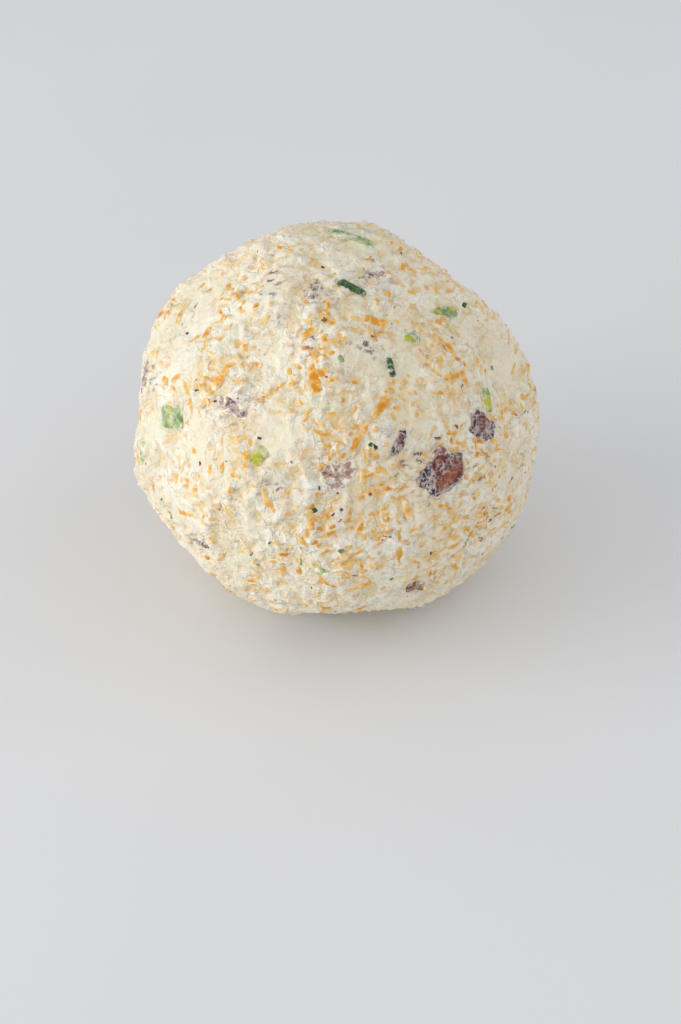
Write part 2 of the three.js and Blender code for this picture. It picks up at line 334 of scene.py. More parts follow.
def fine_skin(points):
    """Scales, creases and grain in mm. Scales are noise with steepened sides, and a crease is a sharp
    ridge along the winding line where another noise crosses nought."""
    drawn = stirred(points, 5, 2.2, 30) * [1, 1, 0.75]
    torn = 1 - SMOOTHING * smear_of(points)
    scales = SCALES * np.tanh(5 * noise(drawn, 4.2, 6)) + FLAKES * (ridged(drawn, 3.3, 7) - 0.5)
    creases = CREASES * ridged(drawn, 7.5, 13, 3.4) + FINE_CREASES * ridged(drawn, 4.0, 14, 2.6) - 0.22
    grain = GRAIN * noise(stirred(points, 2, 0.8, 40), 1.9, 8)
    return torn * (scales + grain) + (0.4 + 0.6 * torn) * creases


# %% The skin's reach from the centre
def dips(points):
    """How far the skin has dipped, 0 to 1: full over a bare piece's middle, 0 past its rim, and less the
    more film the piece has. Noise moves the edge, so that cheese laps over the piece unevenly."""
    total = np.zeros(points.shape[:-1])
    lapping = LAPPING * noise(points, 3.4, 95)
    for seat in SEATS.values():
        forward = points @ seat["along"] / (seat["length"] / 2 / MM)
        aside = points @ seat["across"] / (seat["width"] / 2 / MM)
        other_side = points @ seat["out"] < 0
        from_middle = np.sqrt(forward**2 + aside**2) + 9 * other_side
        total = np.maximum(total, (1 - seat["film"]) * ease(1.2, 0.8, from_middle + lapping))
    return total


def skin_reach(directions, fine=True):
    """Metres from the centre to the skin: the pressed reach plus the heights, which fade out towards the
    seat, and no further than the table, which a direction meets at the seat's height over its fall."""
    pressed = pressed_reach(directions)
    points = directions * pressed[..., None]
    above_table = points[..., 2] + SEAT_HEIGHT / MM
    height = broad_skin(points)
    if fine:
        dip = dips(points)
        height = height + fine_skin(points) * (1 - dip) - DIP * dip
    crumbled = CRUMBLED * noise(points, 3.2, 9) * ease(RIM_TOP, 3, above_table) if fine else 0
    height = (height + crumbled) * ease(-6, 3, above_table)
    down = np.clip(-directions[..., 2], 1e-6, None)
    return np.minimum((pressed + height) * MM, SEAT_HEIGHT / down)


def on_ball(directions, reach):
    """The points that far from the ball's centre in those directions."""
    return CENTRE + directions * reach[..., None]


crown_reach = skin_reach(np.array([[0.0, 0.0, 1.0]]))[0]
print("crown at", round((SEAT_HEIGHT + crown_reach) / MM, 1), "mm above the table")

# %% [markdown]
# ## Meshes from arrays
# Every piece below is a grid of points, so one helper turns points and faces into a mesh object. It also
# stores numbers for the materials on the points, rides the piece on the one rigid body, and names the
# slot that its finish comes from. A second one measures the volume inside a mesh, which comes out
# positive only where the faces point outwards.


# %% The mesh helper
def piece(name, points, faces, slot, numbers, stands_for=()):
    """A smooth mesh object of those points and faces, in the frame, with its numbers as attributes."""
    mesh = bpy.data.meshes.new(name)
    mesh.from_pydata(points.reshape(-1, 3), [], faces)
    for label, values in numbers.items():
        attribute = mesh.attributes.new(label, "FLOAT", "POINT")
        attribute.data.foreach_set("value", np.ascontiguousarray(values, np.float32).ravel())
    mesh.shade_smooth()
    mesh.update()
    made = bpy.data.objects.new(name, mesh)
    bpy.context.scene.collection.objects.link(made)
    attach(made, "root")
    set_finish(made, slot)
    if stands_for:
        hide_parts(*stands_for)
    return made


def volume_of(obj):
    """Cubic centimetres inside a mesh: a sixth of the sum of a . (b x c) over its triangles."""
    mesh = obj.data
    mesh.calc_loop_triangles()
    corners = np.empty(len(mesh.loop_triangles) * 3, np.int32)
    mesh.loop_triangles.foreach_get("vertices", corners)
    a, b, c = vertices_of(mesh)[corners.reshape(-1, 3)].transpose(1, 0, 2)
    return float(np.sum(a * np.cross(b, c)) / 6 * 1e6)


# %% [markdown]
# ## The cheese mass
# A sphere of rings bunches its faces at the poles. A cube whose six faces are square grids, blown up to a
# sphere, has faces of nearly one size everywhere. The tangent spaces the lines evenly, and points that
# two faces share are merged by their whole-number places on the cube.


# %% A blown-up cube
def cube_sphere(cells):
    """Directions to an even sphere of points, and its square faces, wound outwards."""
    steps = 2 * np.arange(cells + 1) - cells
    u, v = np.meshgrid(steps, steps, indexing="ij")
    w = np.full_like(u, cells)
    sides = [(u, v, w), (v, u, -w), (w, u, v), (-w, v, u), (v, w, u), (u, -w, v)]
    places = np.concatenate([np.stack(side, axis=-1).reshape(-1, 3) for side in sides])
    unique, shared = np.unique(places, axis=0, return_inverse=True)
    index = shared.reshape(6, cells + 1, cells + 1)
    corners = [index[:, :-1, :-1], index[:, 1:, :-1], index[:, 1:, 1:], index[:, :-1, 1:]]
    return unit(np.tan(unique / cells * np.pi / 4)), np.stack(corners, axis=-1).reshape(-1, 4)


CUBE_CELLS = 128
directions, cube_faces = cube_sphere(CUBE_CELLS)
print(len(directions), "points on the blown-up cube")

# %% [markdown]
# ## Colours that show through the skin
# Cheese that covers a buried piece thinly takes its colour: grey and violet over bacon, green over pepper.
# A bell round each such place gives a number on the points, which the cream cheese's finish reads later.

# %% Places of buried pieces: turn, lift, radius in mm, strength
GREY_SMUDGES = np.array([
    [-57, 70, 4.5, 0.9], [-50, 64, 3.0, 0.8], [-20, 71, 4.0, 0.7], [-13, 54, 4.0, 0.8],
    [-30, 60, 3.0, 0.7], [-18, 14, 4.0, 0.8], [14, 53, 3.5, 0.7], [-72, 26, 3.5, 0.9],
    [-1, 46, 2.2, 0.9], [-66, 36, 2.6, 0.9], [36, -14, 3.0, 0.5], [61, 4, 4.0, 0.5],
    [22, 22, 5.0, 0.9], [26, 13, 5.0, 0.9], [42, 14, 5.0, 0.6],
    [100, 40, 5.0, 0.7], [150, 5, 6.0, 0.7], [-140, 35, 5.0, 0.7], [-110, -5, 4.5, 0.7],
    [-170, -20, 5.0, 0.7],
])
GREEN_SMUDGES = np.array([
    [150, 82, 7.0, 0.9], [-62, 6, 5.0, 0.6], [-49, 52, 3.5, 0.7], [10, 66, 4.0, 0.6],
    [-6, 36, 3.5, 0.7], [-20, 19, 3.5, 0.6], [60, 54, 4.0, 0.5], [-3, -9, 3.0, 0.6],
    [110, 20, 5.0, 0.6], [175, 40, 5.0, 0.6], [-120, 45, 5.0, 0.6],
])
HALO = 1.6  # mm that a set-in piece's colour is smeared past its ends


def smudged(points, rows, kind, strength):
    """Bells round the rows' places and round the seats of one kind, frayed by noise, 0 to 1."""
    seats = [seat for name, seat in SEATS.items() if name.startswith(kind)]
    middles = np.concatenate([toward(rows[:, 0], rows[:, 1]), [seat["out"] for seat in seats]])
    middles = middles * pressed_reach(middles)[:, None]
    radii = np.concatenate([rows[:, 2], [seat["length"] / 2 / MM + HALO for seat in seats]])
    strengths = np.concatenate([rows[:, 3], np.full(len(seats), strength)])
    return bells(stirred(points, 3, 1.5, 50), middles, radii, strengths, 3)


print(len(GREY_SMUDGES), "grey smudges and", len(GREEN_SMUDGES), "green ones")

# %% The cheese mass itself
pressed_points = directions * pressed_reach(directions)[:, None]
cheese = piece(
    "pressed_cheese",
    on_ball(directions, skin_reach(directions)),
    cube_faces.tolist(),
    "cream_cheese",
    {
        # The crest number, the fine skin's height, also darkens the cream in its hollows as painted shade.
        "crest": 0.5 + 0.8 * fine_skin(pressed_points),
        "smear": smear_of(pressed_points),
        "crowd": crowding_of(pressed_points),
        "grey_below": smudged(pressed_points, GREY_SMUDGES, "bacon", 0.55),
        "green_below": smudged(pressed_points, GREEN_SMUDGES, "pepper", 0.35),
    },
    ["cheese_mass"],
)
print("cheese:", len(cheese.data.polygons), "faces,", round(volume_of(cheese), 1), "cm3")

# %% [markdown]
# ## Shreds of cheddar
# A grated shred is a soft bar with a rounded section and blunt, narrowed ends, and it bends with the
# surface that it was pressed into. A cube with Bevel and Simple Deform modifiers would need one object
# for each. Here all bars are rings of points carried along the ball at once, so the crumb of many
# hundreds is one array.


# %% Bars laid along the ball
def flattened(v, power):
    """|v| raised to a power below 1, with its sign kept: it turns a circle into a rounded square."""
    return np.sign(v) * np.abs(v) ** power


def bars_on_ball(out, along, across, length, width, thickness, bow, proud, fine, rings, sides):
    """Points of N bars, shape (N, rings, sides, 3), and how bare each point lies. Ring t, from -1 to 1,
    lies t half-lengths along and bow * (1 - t^2) across, its top standing proud of the skin. The section
    is a rounded square, flat on top, and narrows as 1 - 0.45 * t^6. A point is bare by its height in the
    section times 1 - t^4."""
    t = np.sin(np.linspace(-0.5, 0.5, rings) * np.pi)[None, :]
    forward = t * length[:, None] / 2
    aside = bow[:, None] * (1 - t**2)
    here = out[:, None] * pressed_reach(out)[:, None, None] * MM
    here = here + forward[..., None] * along[:, None] + aside[..., None] * across[:, None]
    ways = unit(here)
    reach = skin_reach(ways, fine=fine) + (proud - thickness / 2)[:, None]
    angle = (np.arange(sides) + 0.5) / sides * 2 * np.pi
    narrow = (1 - 0.45 * t**6)[..., None]
    sideways = narrow * width[:, None, None] / 2 * flattened(np.cos(angle), 0.6)
    upwards = narrow * thickness[:, None, None] / 2 * flattened(np.sin(angle), 0.6)
    middle = CENTRE + ways * reach[..., None]
    points = middle[:, :, None] + sideways[..., None] * across[:, None, None]
    bare = np.broadcast_to(np.sin(angle) * (1 - t**4)[..., None], upwards.shape)
    return points + upwards[..., None] * ways[:, :, None], bare


def bar_faces(count, rings, sides):
    """Square faces between neighbouring rings, and one flat cap on each end, for every bar."""
    start = np.arange(count)[:, None, None] * rings * sides
    ring = np.arange(rings - 1)[None, :, None] * sides
    this, following = np.arange(sides), (np.arange(sides) + 1) % sides
    corners = [start + ring + this, start + ring + following]
    walls = np.stack([corners[0], corners[1], corners[1] + sides, corners[0] + sides], axis=-1)
    first = start[:, :, 0] + this[::-1]
    last = start[:, :, 0] + (rings - 1) * sides + this
    return walls.reshape(-1, 4).tolist() + first.tolist() + last.tolist()


# %% The larger shreds, in mm
SHRED_WIDTH, SHRED_THICKNESS, SHRED_PROUD, SHRED_BOW, SHRED_ROUGHNESS = 1.9, 1.3, 0.25, 0.4, 0.16
BROAD_SHREDS = {
    "cheddar_shred_01": 3.4, "cheddar_shred_02": 2.8, "cheddar_shred_05": 2.4, "cheddar_shred_08": 2.2,
}
SHRED_RINGS, SHRED_SIDES = 19, 16


def cheddar_shred(node, order):
    """One larger shred, nearly flush with the skin. By turns they bow to one side, lie straight, or bow
    to the other."""
    seat = SEATS[node]
    width = BROAD_SHREDS.get(node, SHRED_WIDTH)
    bow = (order % 3 - 1) * SHRED_BOW
    one_bar = (
        seat["out"], seat["along"], seat["across"], seat["length"],
        width * MM, SHRED_THICKNESS * MM, bow * MM, SHRED_PROUD * MM,
    )
    arrays = [np.array([value]) for value in one_bar]
    points, bare = bars_on_ball(*arrays, fine=False, rings=SHRED_RINGS, sides=SHRED_SIDES)
    points = points + SHRED_ROUGHNESS * MM * noise(points / MM, 1.6, 60 + order)[..., None]
    numbers = {"tone": np.full(points.shape[:-1], seat["tone"]), "bare": bare}
    return piece(
        node + "_soft", points, bar_faces(1, SHRED_RINGS, SHRED_SIDES), "cheddar", numbers, [node]
    )


shred_nodes = [name for name in PIECE_NODES if name.startswith("cheddar")]
shreds = [cheddar_shred(node, order) for order, node in enumerate(shred_nodes)]
print(len(shreds), "larger shreds, first", round(volume_of(shreds[0]) * 1000, 1), "mm3")

# %% [markdown]
# ## The crumb: many small shreds
# Most of the cheddar is short broken shreds, thick in some places and thin in others. A particle system
# could scatter them, but here many candidates are drawn evenly over the ball, and each is kept or not by
# a chance that is high in a crowd, low on a smear, and nought where a larger piece sits.

# %% Scatter small bars
CANDIDATES = 6  # drawn for each bar that is wanted
LOWEST_LIFT = -56  # degrees; below it a bar would reach through the table
SPARSE, CROWDED = 0.20, 0.8  # the chance of being kept outside a crowd, and what a crowd adds
KEPT_OFF = 0.012  # radians that a bar stays away from a larger piece, past 0.8 of its half-length


def scattered(count, seed, patchiness):
    """Random directions, even over the ball because the sine of the lift is drawn evenly. One is kept by
    the chance (sparse + patchiness * noise + crowded * crowd) * (1 - 0.9 * smear)."""
    chance = np.random.default_rng(seed)
    up = chance.uniform(np.sin(np.radians(LOWEST_LIFT)), 1, CANDIDATES * count)
    turn = chance.uniform(-180, 180, CANDIDATES * count)
    ways = toward(turn, np.degrees(np.arcsin(up)))
    points = ways * BALL_RADIUS
    likely = SPARSE + patchiness * (0.5 * noise(points, 15, seed) + 0.5 * noise(points, 6, seed + 1))
    likely = (likely + CROWDED * crowding_of(points)) * (1 - 0.9 * smear_of(points))
    outs = np.array([seat["out"] for seat in SEATS.values()])
    halves = np.array([seat["length"] for seat in SEATS.values()]) / 2 / (BALL_RADIUS * MM)
    clear = np.all(np.arccos(np.clip(ways @ outs.T, -1, 1)) > 0.8 * halves + KEPT_OFF, axis=1)
    kept = ways[(chance.uniform(0, 1, len(ways)) < likely) & clear][:count]
    return kept, chance


# %% Crumbs: lengths, widths and prouds in mm
CRUMB_RINGS, CRUMB_SIDES = 5, 10
CRUMB_ROUGHNESS = 0.14


def crumb(name, slot, count, seed, patchiness, lengths, widths, prouds):
    """One mesh of many small bars. Lengths, widths and prouds are (least, most), and short bars are the
    commoner: a length is least + (most - least) * chance^2.2, and at least 1.1 widths. A bar is 0.7
    widths thick."""
    out, chance = scattered(count, seed, patchiness)
    n = len(out)
    level, crownward = tangents(out)
    spin = chance.uniform(0, np.pi, n)[:, None]
    along = np.cos(spin) * level + np.sin(spin) * crownward
    width = chance.uniform(*widths, n) * MM
    length = (lengths[0] + (lengths[1] - lengths[0]) * chance.uniform(0, 1, n) ** 2.2) * MM
    points, bare = bars_on_ball(
        out, along, np.cross(out, along), np.maximum(length, width * 1.1), width, width * 0.7,
        chance.normal(0, 0.08, n) * length, chance.uniform(*prouds, n) * MM,
        fine=True, rings=CRUMB_RINGS, sides=CRUMB_SIDES,
    )
    points = points + CRUMB_ROUGHNESS * MM * noise(points / MM, 1.3, seed)[..., None]
    tone = np.broadcast_to(chance.uniform(0, 1, n)[:, None, None], points.shape[:-1])
    faces = bar_faces(n, CRUMB_RINGS, CRUMB_SIDES)
    return piece(name, points, faces, slot, {"tone": tone, "bare": bare})


CRUMBS = [
    crumb("cheddar_crumb", "cheddar", 1400, 11, 0.6, (1.5, 7.5), (0.9, 2.1), (0.02, 0.25)),
    crumb("bacon_crumb", "bacon", 110, 23, 0.9, (0.7, 2.6), (0.5, 1.2), (0.0, 0.2)),
    crumb("pepper_crumb", "green_pepper", 60, 37, 0.9, (0.9, 3.0), (0.8, 1.6), (0.0, 0.2)),
]
for made in CRUMBS:
    print(made.name, len(made.data.polygons), "faces,", round(volume_of(made), 2), "cm3")

# %% [markdown]
# ## Slabs of pepper and bacon
# Diced pepper and crumbled bacon are flat slabs with soft edges. Box modelling would give each a shape
# of its own, and a formula gives all of them at once. Each is a superellipsoid: a squared outline swept
# from a pole on its outer face, round its rim, to a pole underneath. Its outline is frayed by noise, its
# face is roughened, and the whole is bent over the ball like the skin round it.


# %% A slab bent over the ball
SLAB_ROUNDS, SLAB_RINGS = 64, 16


def slab_on_ball(seat, thickness, proud, frayed, craggy, squareness, seed):
    """Points of a slab, pole, rings, pole, with how near each is to the rim and to the slab's back end,
    0 to 1. Ring a, from 0 to pi, has the rim share sin(a)^0.4 and the height cos(a)^0.4. The outline is
    a superellipse times 1 + frayed * noise round its rim."""
    a = np.linspace(0, np.pi, SLAB_RINGS + 2)[1:-1, None]
    turn = np.arange(SLAB_ROUNDS)[None, :] / SLAB_ROUNDS * 2 * np.pi
    rim_points = np.stack([np.cos(turn), np.sin(turn), 0 * turn], axis=-1)
    fray = 1 + frayed * (noise(rim_points, 0.9, seed) + 0.6 * noise(rim_points, 0.35, seed + 1))
    corners = np.abs(np.cos(turn)) ** squareness + np.abs(np.sin(turn)) ** squareness
    squared = corners ** (-1 / squareness)
    share = np.sin(a) ** 0.4
    level = flattened(np.cos(a), 0.4)
    rim = fray * squared * share
    forward = np.pad((rim * np.cos(turn) * seat["length"] / 2).ravel(), 1)
    aside = np.pad((rim * np.sin(turn) * seat["width"] / 2).ravel(), 1)
    level = np.concatenate([[1], np.broadcast_to(level, rim.shape).ravel(), [-1]])
    back_end = np.pad((share**2 * np.clip(-np.cos(turn), 0, 1)).ravel(), 1)
    share = np.concatenate([[0], np.broadcast_to(share, rim.shape).ravel(), [0]])
    here = seat["out"] * pressed_reach(seat["out"]) * MM
    here = here + forward[:, None] * seat["along"] + aside[:, None] * seat["across"]
    ways = unit(here)
    rough = craggy * (noise(here / MM, 2.6, seed + 2) + 0.5 * noise(here / MM, 1.1, seed + 3))
    height = proud + thickness * (level - 1) / 2 + rough * (level > 0)
    return on_ball(ways, skin_reach(ways, fine=False) + height * MM), share, back_end


def slab_faces():
    """Triangles round both poles and squares between the rings, wound outwards."""
    this = np.arange(SLAB_ROUNDS)
    following = (this + 1) % SLAB_ROUNDS
    ring = 1 + np.arange(SLAB_RINGS - 1)[:, None] * SLAB_ROUNDS
    squares = [ring + this, ring + SLAB_ROUNDS + this, ring + SLAB_ROUNDS + following, ring + following]
    last = 1 + (SLAB_RINGS - 1) * SLAB_ROUNDS
    top = np.stack([0 * this, 1 + this, 1 + following], axis=-1)
    under = np.stack([0 * this + last + SLAB_ROUNDS, last + following, last + this], axis=-1)
    return np.stack(squares, axis=-1).reshape(-1, 4).tolist() + top.tolist() + under.tolist()


print(SLAB_RINGS * SLAB_ROUNDS + 2, "points to a slab")

# %% Pepper and bacon, in mm
SLAB_PROUD = 0.50  # how far a bare slab stands out
SLAB_SUNK = 0.45  # how much less one stands out under a whole film
BURNT_AND_SHADED_END = 0.9  # what the darker back end adds to bacon's tone, partly burnt and partly painted shade
PEPPER = {"thickness": 3.0, "frayed": 0.07, "craggy": 0.10, "squareness": 5}
BACON = {"thickness": 2.8, "frayed": 0.28, "craggy": 0.55, "squareness": 3}


def slab(node, slot, kind, burnt_and_shaded_end, seed):
    """A slab piece for one solid. The more film lies over it, the deeper it sits, and its tone rises
    towards its back end by the given share, partly a burnt end and partly painted shade of its recess."""
    seat = SEATS[node]
    proud = SLAB_PROUD - SLAB_SUNK * seat["film"]
    points, share, back_end = slab_on_ball(seat, proud=proud, seed=seed, **kind)
    tone = seat["tone"] + burnt_and_shaded_end * back_end
    numbers = {"tone": tone, "film": np.full(len(points), seat["film"]), "rim": share}
    return piece(node + "_fine", points, slab_faces(), slot, numbers, [node])


for order, node in enumerate(PIECE_NODES):
    if node.startswith("pepper"):
        slab(node, "green_pepper", PEPPER, 0, 200 + 5 * order)
    if node.startswith("bacon"):
        slab(node, "bacon", BACON, BURNT_AND_SHADED_END, 400 + 5 * order)
print(len(PIECE_NODES) - len(shreds), "pieces of pepper and bacon")

# %% [markdown]
# ## Finishes as sums
# Each finish is a formula over the surface: where a film of cheese lies, how a grain is tinted, how rough
# it is. The Field class below lets the formula be written as one. Numbers use Math nodes, coordinates
# use Vector Math nodes, colours are mixed, and every other node comes from one method.


# %% The Field class
class Field:
    """A socket of a material's node tree that can be added, multiplied and so on."""

    def __init__(self, tree, socket):
        self.tree, self.socket = tree, socket

    def fill(self, node, inputs):
        """Fills a node's inputs with values or links."""
        for place, value in inputs.items():
            if isinstance(value, Field):
                self.tree.links.new(value.socket, node.inputs[place])
            else:
                node.inputs[place].default_value = value

    def node(self, kind, settings, inputs, output=0):
        """Adds a node, sets it, fills its inputs and gives one output."""
        made = self.tree.nodes.new(kind)
        for name, value in settings.items():
            setattr(made, name, value)
        self.fill(made, inputs)
        return Field(self.tree, made.outputs[output])

    def reckon(self, operation, *sides):
        """A Math node, or a Vector Math node where a side is a vector."""
        linked = [side.socket.type for side in sides if isinstance(side, Field)]
        vector = "VECTOR" in linked or any(isinstance(side, tuple) for side in sides)
        kind = "ShaderNodeVectorMath" if vector else "ShaderNodeMath"
        return self.node(kind, {"operation": operation}, dict(enumerate(sides)))

    def __add__(self, other):
        return self.reckon("ADD", self, other)

    def __sub__(self, other):
        return self.reckon("SUBTRACT", self, other)

    def __rsub__(self, other):
        return self.reckon("SUBTRACT", other, self)

    def __mul__(self, other):
        return self.reckon("MULTIPLY", self, other)

    __radd__, __rmul__ = __add__, __mul__

    def ease(self, low, high):
        """0 below low, 1 above high, smooth between; low may be the greater, which turns it over."""
        inputs = {"Value": self, "From Min": min(low, high), "From Max": max(low, high)}
        eased = self.node("ShaderNodeMapRange", {"interpolation_type": "SMOOTHSTEP"}, inputs)
        return 1 - eased if low > high else eased

    def mix(self, below, above):
        """The colour below where this mask is 0, the colour above where it is 1. A Mix node takes its
        colours at inputs 6 and 7, and gives the mixed one at output 2."""
        return self.node("ShaderNodeMix", {"data_type": "RGBA"}, {0: self, 6: below, 7: above}, 2)

    def number(self, label):
        """A number that the mesh stores on its points."""
        return self.node("ShaderNodeAttribute", {"attribute_name": label}, {}, "Fac")

    def noise(self, per_mm, detail=2.0):
        """Smooth chance 0 to 1 at these coordinates, with so many waves to the millimetre."""
        inputs = {"Vector": self, "Scale": per_mm / MM, "Detail": detail}
        return self.node("ShaderNodeTexNoise", {}, inputs, "Fac")

    def cells(self, per_mm, output="Distance"):
        """A pattern of cells: how far the nearest cell's middle is, or that cell's own colour."""
        inputs = {"Vector": self, "Scale": per_mm / MM, "Randomness": 1.0}
        return self.node("ShaderNodeTexVoronoi", {}, inputs, output)

    def creases(self, per_mm, width):
        """1 on the winding lines where a noise crosses its middle, 0 further than width from them."""
        return self.reckon("ABSOLUTE", self.noise(per_mm, 2.0) - 0.5).ease(width, 0.0)

    def drawn(self, turned, size_mm):
        """These coordinates in cells of three sizes, turned by three angles."""
        settings, sizes = {"vector_type": "TEXTURE"}, tuple(size * MM for size in size_mm)
        inputs = {"Vector": self, "Rotation": turned, "Scale": sizes}
        return self.node("ShaderNodeMapping", settings, inputs)

    def stirred(self, per_mm, amount_mm):
        """These coordinates pushed about by noise, as far as the amount each way."""
        inputs = {"Vector": self, "Scale": per_mm / MM, "Detail": 1.0}
        push = self.node("ShaderNodeTexNoise", {}, inputs, "Color")
        return self + (push - (0.5, 0.5, 0.5)) * ((2 * amount_mm * MM,) * 3)


def colour(red, green, blue):
    """A colour given in the 0 to 255 of a paint chart, as the linear values that a shader needs."""
    chart = np.array([red, green, blue]) / 255
    linear = np.where(chart <= 0.04045, chart / 12.92, ((chart + 0.055) / 1.055) ** 2.4)
    return (*(float(c) for c in linear), 1.0)


def finish(name, formula, soaked=0, colours=(1, 1, 1), depth_mm=1, **constants):
    """A new material. The formula is asked with the coordinates, and gives what feeds the shader's
    sockets. A share of the light soaks in, each colour as far as its own number times the depth. Other
    constants go straight onto the sockets."""
    made = bpy.data.materials.new(name)
    made.use_nodes = True
    start = Field(made.node_tree, None)
    shader = made.node_tree.nodes["Principled BSDF"]
    soaking = {"Weight": soaked, "Radius": colours, "Scale": depth_mm * MM}
    start.fill(shader, {"Subsurface " + socket: value for socket, value in soaking.items()})
    start.fill(shader, {socket.replace("_", " "): value for socket, value in constants.items()})
    start.fill(shader, formula(start.node("ShaderNodeTexCoord", {}, {}, "Object")))
    return made


def bumped(place, height, strength, depth_mm):
    """A normal that leans as if the surface rose by the height field times the depth."""
    inputs = {"Height": height, "Strength": strength, "Distance": depth_mm * MM}
    return place.node("ShaderNodeBump", {}, inputs, "Normal")


# %% [markdown]
# ## Cream cheese
# Cream cheese is ivory, and light soaks a millimetre or two into it. Its hollows are tinted a darker
# yellow as painted shade, and white lines along its crease ridges are a painted highlight. Under its skin
# lie more shreds, seen as soft peach grains. A 3D cell pattern stretched along one line gives grains that
# are long on one side of the ball and round on another, as cut shreds are, so three such patterns at
# different angles make the mix.


# %% Grains under the skin
# The white of a cheese film over a piece, and on the cream the painted highlight along crease ridges.
FILM_AND_HIGHLIGHT_WHITE = colour(250, 246, 234)
GRAIN_CELL = 2.2  # mm
GRAIN_STRETCH = 2.0
# How far each layer is turned, the size of a grain in its cell, the share of cells with one, its colour.
GRAIN_LAYERS = [
    ((0.3, 1.2, 0.4), 0.58, 0.42, colour(232, 156, 38)),
    ((1.5, 0.2, 1.0), 0.55, 0.40, colour(222, 142, 22)),
    ((0.9, 0.6, 2.2), 0.52, 0.36, colour(238, 172, 64)),
]


def grains(place, turned, size, share):
    """Whole grains and their bare middles, as two masks. A grain lies where a point of the stretched cell
    pattern is near its cell's middle, in a share of the cells, and is bare by a chance of its own."""
    cell = (GRAIN_CELL, GRAIN_CELL, GRAIN_CELL * GRAIN_STRETCH)
    drawn = place.stirred(0.5, 0.45).drawn(turned, cell)
    near, chance = drawn.cells(MM), drawn.cells(MM, output="Color")
    lot = place.node("ShaderNodeSeparateColor", {}, {0: chance}, 0)
    bareness = place.node("ShaderNodeSeparateColor", {}, {0: chance}, 1)
    frayed = near + (place.noise(0.55, 3) - 0.5) * 0.36
    present = lot.ease(1 - share, 1 - share + 0.04)
    whole = frayed.ease(size, size * 0.55) * present
    middle = frayed.ease(size * 0.78, size * 0.35) * present * bareness.ease(0.25, 0.85)
    return whole, middle


print(len(GRAIN_LAYERS), "layers of grains")


# %% Cream cheese
def cream_cheese(place):
    """Ivory, tinted by smear and peach patches, with painted shade in the hollows; then grains, what lies
    below, specks, and webs whose white is a painted highlight on the crease ridges.
    """
    crest, smear = place.number("crest"), place.number("smear")
    torn = place.stirred(0.4, 0.9)
    web = torn.creases(0.20, 0.055) * place.noise(0.12, 2).ease(0.38, 0.56) * (1 - smear * 0.6)
    flakes = torn.noise(0.42, 4).ease(0.40, 0.60) * (1 - smear * 0.7)
    grit = torn.noise(0.9, 3)
    tone = place.noise(0.06, 3).ease(0.35, 0.65).mix(colour(241, 232, 209), colour(248, 243, 227))
    tone = (smear * place.noise(0.1, 2).ease(0.35, 0.6) * 0.7).mix(tone, colour(232, 228, 198))
    peach = place.noise(0.09, 3).ease(0.52, 0.66) * 0.35 + place.number("crowd") * 0.15
    tone = peach.mix(tone, colour(240, 214, 176))
    # Painted shade: where the crest and grit heights are low, in the hollows, the cream darkens to a deeper
    # yellow.
    tone = ((grit * 0.5 + crest * 0.5).ease(0.46, 0.32) * 0.7).mix(tone, colour(232, 208, 158))
    clumps = place.noise(0.06, 2).ease(0.38, 0.64) * 0.4 + place.number("crowd") * 1.05 + 0.12
    for turned, size, share, warm in GRAIN_LAYERS:
        whole, middle = grains(place, turned, size, share)
        shown = clumps * (1 - smear * 0.9)
        tone = (whole * shown * 0.85).mix(tone, colour(245, 206, 138))
        tone = (middle * shown).mix(tone, warm)
    streaked = place.stirred(0.5, 0.8).drawn((0.5, 0.9, 0.2), (1.5, 1.5, 4.5)).noise(MM, 4)
    below = place.number("grey_below")
    tone = (below * streaked.ease(0.40, 0.60) * 0.45).mix(tone, colour(186, 172, 172))
    tone = (below * streaked.ease(0.57, 0.64)).mix(tone, colour(84, 66, 80))
    veined = place.number("green_below") * place.noise(0.35, 3).ease(0.38, 0.62)
    tone = (veined * 0.5).mix(tone, colour(158, 174, 142))
    specks = place.stirred(0.9, 0.7).cells(0.17) + (place.noise(1.2, 1) - 0.5) * 0.10
    tone = (specks.ease(0.085, 0.055) * 0.85).mix(tone, colour(84, 62, 52))
    # Painted highlight: the web of creases is whitened along its ridges.
    tone = (web.ease(0.3, 1.0) * 0.6).mix(tone, FILM_AND_HIGHLIGHT_WHITE)
    rise = web * 0.25 + flakes * 0.35 + grit * (0.5 - smear * 0.3)
    return {
        "Base Color": tone,
        "Roughness": 0.46 + (1 - smear) * 0.14 + grit * 0.1,
        "Normal": bumped(place, rise, 1.0, 0.85),
    }


# %% [markdown]
# ## Cheddar
# Bare shreds are a waxy deep orange. Most wear a film of cream cheese, thickest down their sides where
# the mass closes over them, so the film is a mask of their height in the skin, their own tone and noise.


# %% Cheddar
def cheddar(place):
    """Deep orange, paler with tone, then a peach haze and a cream film where the cover is high."""
    tone, bare = place.number("tone"), place.number("bare")
    orange = place.noise(0.3, 2).ease(0.35, 0.65).mix(colour(222, 142, 6), colour(240, 170, 38))
    orange = (tone * 0.45).mix(orange, colour(243, 196, 108))
    cover = tone * 0.20 + place.noise(0.6, 3) * 1.2 - bare * 0.5
    look = (cover.ease(0.06, 0.38) * 0.85).mix(orange, colour(244, 208, 142))
    look = cover.ease(0.36, 0.56).mix(look, colour(244, 234, 208))
    return {
        "Base Color": look,
        "Roughness": 0.42 + place.noise(0.8, 2) * 0.25,
        "Normal": bumped(place, place.noise(1.1, 3), 0.6, 0.5),
    }


# %% [markdown]
# ## Green pepper
# Diced chilli shows dark glossy skin on one face and pale wet flesh with darker green veins on the rest,
# ripening to yellow in places. Cheese is smeared over every set-in piece, so that part comes first.


